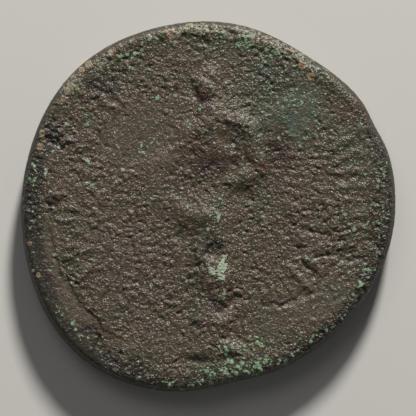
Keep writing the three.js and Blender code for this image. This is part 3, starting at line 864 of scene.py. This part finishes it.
def grain_height(near, size):
    """Grains with creases between them: 1 on top of a grain and 0 in a crease."""
    height = GRAIN_SHARES["pebbles"] * pebbles(near, size, 1)
    height += GRAIN_SHARES["domes"] * domes(near, GRAIN_SIZES["domes"] * size, 2)
    height += GRAIN_SHARES["clouds"] * (0.5 + 0.5 * clouds(near, GRAIN_SIZES["clouds"] * size, 2, 10))
    return height


def add_crumbs(skin, masks):
    """Beads lie on coarse skin, and crumbs where there is crust. A few small crumbs lie everywhere."""
    beads = 0.8 * masks["coarse"] * blend(1.0, 0.2, masks["smooth"])
    large = 0.8 * masks["crust"] * masks["crust"] + 0.005
    small = 0.45 * masks["crust"] + 0.08 * masks["teal"] + 0.018
    masks["beads"] = crumbs(skin.near, BEADS, beads)
    masks["large crumbs"] = crumbs(skin.places, LARGE_CRUMBS, large)
    masks["small crumbs"] = crumbs(skin.places, SMALL_CRUMBS, small)


def skin_sink(skin, masks, grain_depth):
    """How far corrosion has sunk each point below the struck form, less what stands on it."""
    rough = blend(1.0, 0.45, masks["smooth"]) * (1.0 + 0.3 * clouds(skin.places, *ROUGH_DRIFT))
    crease = blend(0.9, 0.66, masks["coarse"]) * grain_depth * rough * (1.0 - masks["grains"])
    sink = DEPTHS["skin"] + crease - blend(FINE_BEAD_RISE, BEADS.rise, masks["coarse"]) * masks["beads"]
    sink += DEPTHS["wave"] * rough * (0.5 + 0.5 * clouds(skin.near, *WAVES))
    sink += DEPTHS["swell"] * (0.5 + 0.5 * clouds(skin.places, *SWELLS))
    sink += DEPTHS["pit"] * ease(0.6, 1.1, clouds(skin.places, *PITS)) * rough
    sink += DEPTHS["stain_and_shade"] * masks["stain_and_shade"] * ease(-0.2, 0.8, clouds(skin.places, *STAIN_PITS))
    marks = relief_rise(MARKS, CUT_LOOK, skin.wander[:, 0], skin.wander[:, 1])
    sink += marks * skin.top + DEPTHS["gap"] * masks["gap"]
    plates = ease(0.3, 0.6, masks["pale"] + 0.2 * clouds(skin.places, *PLATE_EDGES))
    crust = LARGE_CRUMBS.rise * masks["large crumbs"] + SMALL_CRUMBS.rise * masks["small crumbs"]
    sink -= crust + PLATE_RISE * plates + CREAM_RISE * masks["cream"]
    kept = ease(*EDGE_FADE, edge_radius(skin.heading) - skin.radius)
    return np.maximum(sink * kept, DEPTHS["least"])


def corrode(mesh, settings):
    """Sinks the skin by its grains, pits and chips, and records where each finish, the painted shade and the
    painted light lie.
    """
    skin = read_skin(mesh)
    normals = read_vectors(mesh.vertex_normals, "vector")
    masks = finish_masks(skin)
    masks["grains"] = grain_height(skin.near, settings.grain_size / MM)
    add_crumbs(skin, masks)
    sink = skin_sink(skin, masks, settings.grain_depth / MM)

    masks["green"] = np.maximum(masks["large crumbs"], 0.9 * masks["small crumbs"])
    # Painted shade along the edge goes into the same mask as the stains.
    masks["stain_and_shade"] = np.maximum(masks["stain_and_shade"], edge_shade(skin.heading, skin.radius))
    # The dark gap in the cream crust takes the colour of the painted shade.
    masks["shade"] = np.maximum(masks["shade"], masks["gap"])
    # Bead tops are paler with wear, and the painted light patches lie in the same mask.
    masks["worn"] = np.maximum(masks["worn"], 0.7 * masks["beads"])
    masks["hollow"] = 1.15 - masks["grains"]
    for name in PAINTED:
        write_mask(mesh, name, masks[name])
    off_flat = ease(0.0, WORN_FLAT["height"], skin.places[:, 2])
    sink *= blend(WORN_FLAT["share"], 1.0, off_flat)
    write_places(mesh, skin.places - normals * sink[:, None])


def link(tree, source, target):
    tree.links.new(source, target)


def add_node(tree, kind, **values):
    node = tree.nodes.new(kind)
    for name, value in values.items():
        setattr(node, name, value)
    return node


def fill(node, values):
    """Gives inputs of a node their plain values."""
    for name, value in values.items():
        node.inputs[name].default_value = value


def attribute(tree, name):
    return add_node(tree, "ShaderNodeAttribute", attribute_name=name).outputs["Fac"]


def math_node(tree, operation, first, second, clamp=False):
    node = add_node(tree, "ShaderNodeMath", operation=operation, use_clamp=clamp)
    for socket, value in zip(node.inputs, (first, second)):
        if isinstance(value, (int, float)):
            socket.default_value = value
        else:
            link(tree, value, socket)
    return node.outputs[0]


def mapped(tree, value, low, high, to_low=0.0, to_high=1.0):
    node = add_node(tree, "ShaderNodeMapRange", interpolation_type="SMOOTHSTEP")
    link(tree, value, node.inputs["Value"])
    fill(node, {"From Min": low, "From Max": high, "To Min": to_low, "To Max": to_high})
    return node.outputs["Result"]


def noise_node(tree, place, texture):
    node = add_node(tree, "ShaderNodeTexNoise")
    link(tree, place, node.inputs["Vector"])
    fill(node, {"Scale": texture.per_mm / MM, "Detail": texture.detail, "Roughness": texture.roughness})
    return node.outputs["Fac"]


def centred(tree, texture, gain):
    """Noise with its middle at zero."""
    return math_node(tree, "MULTIPLY", math_node(tree, "SUBTRACT", texture, 0.5), gain)


def edged(tree, name, ragged, gain=1.0):
    """A mask pushed up and down by noise, which gives it a ragged edge."""
    return math_node(tree, "ADD", attribute(tree, name), math_node(tree, "MULTIPLY", ragged, gain))


def mix_colour(tree, share, first, second):
    node = add_node(tree, "ShaderNodeMix", data_type="RGBA")
    link(tree, share, node.inputs["Factor"])
    for socket, value in ((node.inputs["A"], first), (node.inputs["B"], second)):
        if isinstance(value, bpy.types.NodeSocket):
            link(tree, value, socket)
        else:
            socket.default_value = (*value, 1.0)
    return node.outputs["Result"]


def tinted(tree, colour, tint, value, low, high, most=1.0):
    """The colour turned to a tint, by this share at most, as the value rises from low to high."""
    return mix_colour(tree, mapped(tree, value, low, high, 0.0, most), colour, tint)


def warped(tree, place, warp):
    """Coordinates pushed about by noise, so that cells of a texture lose their even shape."""
    push = add_node(tree, "ShaderNodeTexNoise")
    link(tree, place, push.inputs["Vector"])
    fill(push, {"Scale": warp["per_mm"] / MM})
    scaled = add_node(tree, "ShaderNodeVectorMath", operation="MULTIPLY_ADD")
    link(tree, push.outputs["Color"], scaled.inputs[0])
    scaled.inputs[1].default_value = (warp["reach"] * MM,) * 3
    link(tree, place, scaled.inputs[2])
    return scaled.outputs["Vector"]


Beads = namedtuple("Beads", "height first second")


def bead_nodes(tree, place):
    """Small rounded beads: how high each point stands on its bead, and two chance numbers for it."""
    cells = add_node(tree, "ShaderNodeTexVoronoi")
    link(tree, warped(tree, place, BEAD_WARP), cells.inputs["Vector"])
    fill(cells, {"Scale": BEADS_PER_MM / MM})
    chance = add_node(tree, "ShaderNodeSeparateColor")
    link(tree, cells.outputs["Color"], chance.inputs["Color"])
    height = mapped(tree, cells.outputs["Distance"], 0.0, 0.65, 1.0, 0.0)
    return Beads(height, chance.outputs["Red"], chance.outputs["Green"])


def body_colour(tree, place, beads, speckle, settings):
    """Brown-grey beads, some redder and some greener, with the tints of the fields and the painted light over
    them.
    """
    drift = centred(tree, noise_node(tree, place, TINGE), 2.0)
    redder = math_node(tree, "ADD", beads.first, drift)
    greener = math_node(tree, "SUBTRACT", beads.second, drift)
    colour = tinted(tree, settings.bronze, settings.worn, speckle, 0.45, 0.66)
    colour = tinted(tree, colour, settings.ruddy, redder, 0.45, 1.2, 0.7)
    colour = tinted(tree, colour, settings.olive, greener, 0.45, 1.2, 0.7)
    colour = tinted(tree, colour, settings.skin, attribute(tree, "smooth"), 0.0, 1.0, 0.6)
    # The worn tint holds the painted light as well as wear.
    tints = (
        ("worn", settings.worn, 0.7), ("mauve", settings.mauve, 0.5), ("olive", settings.olive, 0.7),
        ("teal", settings.teal, 0.85), ("rust", settings.rust, 0.8), ("ember", settings.copper, 0.35),
    )
    for name, tint, most in tints:
        colour = tinted(tree, colour, tint, attribute(tree, name), 0.1, 0.9, most)
    return colour


def darkened_colour(tree, colour, beads, grit, settings):
    """Dark creases, gaps between the beads and specks, then painted brown shade, and near black stains that
    hold painted shade as well.
    """
    colour = tinted(tree, colour, settings.hollow, attribute(tree, "hollow"), 0.45, 0.95, 0.45)
    open_skin = mapped(tree, attribute(tree, "smooth"), 0.0, 1.0, 1.0, 0.5)
    gap = math_node(tree, "MULTIPLY", mapped(tree, beads.height, 0.0, 0.5, 0.55, 0.0), open_skin)
    colour = mix_colour(tree, gap, colour, settings.hollow)
    colour = mix_colour(tree, mapped(tree, grit, 0.3, 0.5, 0.6, 0.0), colour, settings.hollow)
    speckled = centred(tree, grit, 2.6)
    colour = tinted(tree, colour, settings.painted_shade_umber, edged(tree, "shade", speckled, 0.6), 0.3, 0.9, 0.8)
    return tinted(tree, colour, settings.hollow, edged(tree, "stain_and_shade", speckled), 0.3, 0.85, 0.85)


def crusted_colour(tree, place, colour, chance, speckle, settings):
    """Green and pale crust with ragged edges, and copper spots in a pale ring. Also where crust lies."""
    ragged = centred(tree, noise_node(tree, place, DUST), 1.2)
    dusty = mapped(tree, edged(tree, "dust", ragged, 2.0), 0.85, 1.05)
    crumb = math_node(tree, "MAXIMUM", mapped(tree, edged(tree, "green", ragged), 0.35, 0.65), dusty)
    plate = mapped(tree, edged(tree, "pale", ragged), 0.35, 0.5)
    chipped = math_node(tree, "SUBTRACT", attribute(tree, "cream"), chance)
    dark_green = tuple(0.45 * value for value in settings.verdigris)
    green = tinted(tree, dark_green, settings.verdigris, speckle, 0.3, 0.56)
    colour = mix_colour(tree, math_node(tree, "MULTIPLY", crumb, 0.85), colour, green)
    colour = tinted(tree, colour, settings.cream, chipped, -0.05, 0.1, 0.8)
    colour = mix_colour(tree, plate, colour, settings.pale_crust)
    spot = edged(tree, "copper", ragged, 0.6)
    colour = tinted(tree, colour, settings.cream, spot, 0.3, 0.45)
    colour = tinted(tree, colour, settings.copper, spot, 0.55, 0.7)
    return colour, math_node(tree, "MAXIMUM", crumb, plate)


def skin_roughness(tree, grit, crust):
    """Glossy tops and dull specks and crust. Seen at a low angle, the skin is duller."""
    facing = add_node(tree, "ShaderNodeLayerWeight").outputs["Facing"]
    roughness = mapped(tree, grit, 0.4, 0.62, 0.5, 0.31)
    roughness = math_node(tree, "ADD", roughness, math_node(tree, "MULTIPLY", crust, 0.3), True)
    return math_node(tree, "ADD", roughness, mapped(tree, facing, 0.25, 0.8, 0.0, 0.3), True)


def skin_normal(tree, beads, grit):
    """Beads and grit too fine for the mesh."""
    even = mapped(tree, attribute(tree, "smooth"), 0.0, 1.0, 1.0, 0.6)
    beaded = math_node(tree, "MULTIPLY", beads.height, even)
    bump = add_node(tree, "ShaderNodeBump")
    fill(bump, {"Strength": 1.0, "Distance": BUMP_DEPTH * MM})
    link(tree, math_node(tree, "ADD", beaded, math_node(tree, "MULTIPLY", grit, 0.85)), bump.inputs["Height"])
    return bump.outputs["Normal"]


def bronze_material(settings):
    """Brown-grey corroded bronze with dark hollows, green crust, a few bare copper spots, and painted shade
    and painted light.
    """
    material = bpy.data.materials.new("corroded_bronze")
    material.use_nodes = True
    tree = material.node_tree
    tree.nodes.clear()
    output = add_node(tree, "ShaderNodeOutputMaterial")
    shader = add_node(tree, "ShaderNodeBsdfPrincipled")
    link(tree, shader.outputs["BSDF"], output.inputs["Surface"])
    place = add_node(tree, "ShaderNodeTexCoord").outputs["Object"]
    beads = bead_nodes(tree, place)
    grit = noise_node(tree, place, GRIT)
    speckle = noise_node(tree, place, SPECKLE)
    colour = body_colour(tree, place, beads, speckle, settings)
    colour = darkened_colour(tree, colour, beads, grit, settings)
    colour, crust = crusted_colour(tree, place, colour, beads.second, speckle, settings)
    link(tree, colour, shader.inputs["Base Color"])
    link(tree, skin_roughness(tree, grit, crust), shader.inputs["Roughness"])
    link(tree, skin_normal(tree, beads, grit), shader.inputs["Normal"])
    fill(shader, {"Metallic": 0.0, "Specular IOR Level": SPECULAR})
    return material


def turn_outwards(mesh):
    bm = bmesh.new()
    bm.from_mesh(mesh)
    bmesh.ops.recalc_face_normals(bm, faces=bm.faces[:])
    bm.to_mesh(mesh)
    bm.free()


class COIN_OT_strike(bpy.types.Operator):
    """Strike the coin, corrode it and give it its patina"""

    bl_idname = "coin.strike"
    bl_label = "Strike Coin"

    def execute(self, context):
        settings = context.scene.coin_settings
        bm = unrolled_coin(settings.upper_rows, settings.wall_rows)
        mesh = bpy.data.meshes.new("struck_coin")
        bm.to_mesh(mesh)
        bm.free()
        write_places(mesh, struck_places(read_vectors(mesh.vertices, "co")))
        turn_outwards(mesh)
        mesh.polygons.foreach_set("use_smooth", [True] * len(mesh.polygons))
        mesh.update()
        corrode(mesh, settings)
        coin = bpy.data.objects.new("struck_coin", mesh)
        bpy.context.collection.objects.link(coin)
        mesh.materials.append(bronze_material(settings))
        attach(coin, "root")
        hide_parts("coin")
        return {"FINISHED"}


def lay_floor(colour):
    bm = bmesh.new()
    bmesh.ops.create_grid(bm, x_segments=1, y_segments=1, size=FLOOR_HALF)
    mesh = bpy.data.meshes.new("floor")
    bm.to_mesh(mesh)
    bm.free()
    floor = bpy.data.objects.new("floor", mesh)
    bpy.context.collection.objects.link(floor)
    material = bpy.data.materials.new("pale_floor")
    material.use_nodes = True
    shader = material.node_tree.nodes["Principled BSDF"]
    fill(shader, {"Base Color": (*colour, 1.0), "Roughness": FLOOR_ROUGHNESS})
    mesh.materials.append(material)
    return floor


def hang_lamp(lamp, power):
    """A round soft lamp that faces the coin."""
    data = bpy.data.lights.new(lamp.name, "AREA")
    data.shape = "DISK"
    data.size = lamp.size
    data.energy = power
    data.color = LAMP_COLOUR
    light = bpy.data.objects.new(lamp.name, data)
    light.location = lamp.place
    light.rotation_euler = (-Vector(lamp.place)).to_track_quat("-Z", "Y").to_euler()
    bpy.context.collection.objects.link(light)


def light_sky(scene):
    world = bpy.data.worlds.new("studio")
    world.use_nodes = True
    fill(world.node_tree.nodes["Background"], {"Color": SKY_COLOUR, "Strength": SKY_STRENGTH})
    scene.world = world
    scene.view_settings.view_transform = "Standard"


def set_camera(scene, view_width):
    """A camera straight above, which looks down on the upper face."""
    data = bpy.data.cameras.new("camera")
    data.sensor_width = SENSOR_WIDTH
    data.lens = data.sensor_width * CAMERA_DISTANCE / view_width
    data.clip_start = CLIP_START
    camera = bpy.data.objects.new("camera", data)
    camera.location = (*CAMERA_OFFSET, CAMERA_DISTANCE + UPPER_FIELD * MM)
    bpy.context.collection.objects.link(camera)
    scene.camera = camera


class COIN_OT_set_stage(bpy.types.Operator):
    """Lay the pale floor, hang the soft lamps and set the camera straight above"""

    bl_idname = "coin.set_stage"
    bl_label = "Set Stage"

    def execute(self, context):
        settings = context.scene.stage_settings
        floor = lay_floor(settings.floor)
        hang_lamp(KEY_LAMP, settings.key_power)
        hang_lamp(FILL_LAMP, FILL_POWER)
        light_sky(context.scene)
        set_camera(context.scene, settings.view_width)
        return {"FINISHED"}


class COIN_PT_panel(bpy.types.Panel):
    """Makes the coin and its stage"""

    bl_label = "Roman Bronze Coin"
    bl_idname = "COIN_PT_panel"
    bl_space_type = "VIEW_3D"
    bl_region_type = "UI"
    bl_category = "Coin"

    def draw(self, context):
        layout = self.layout
        for settings in (context.scene.coin_settings, context.scene.stage_settings):
            for name in settings.bl_rna.properties.keys():
                if name not in ("rna_type", "name"):
                    layout.prop(settings, name)
        for kind in (COIN_OT_strike, COIN_OT_set_stage):
            layout.operator(kind.bl_idname)


CLASSES = (CoinSettings, StageSettings, COIN_OT_strike, COIN_OT_set_stage, COIN_PT_panel)


def register():
    for kind in CLASSES:
        bpy.utils.register_class(kind)
    bpy.types.Scene.coin_settings = PointerProperty(type=CoinSettings)
    bpy.types.Scene.stage_settings = PointerProperty(type=StageSettings)


def unregister():
    del bpy.types.Scene.stage_settings
    del bpy.types.Scene.coin_settings
    for kind in reversed(CLASSES):
        bpy.utils.unregister_class(kind)


def main():
    register()
    bpy.ops.coin.strike()
    bpy.ops.coin.set_stage()


if __name__ == "__main__":
    main()
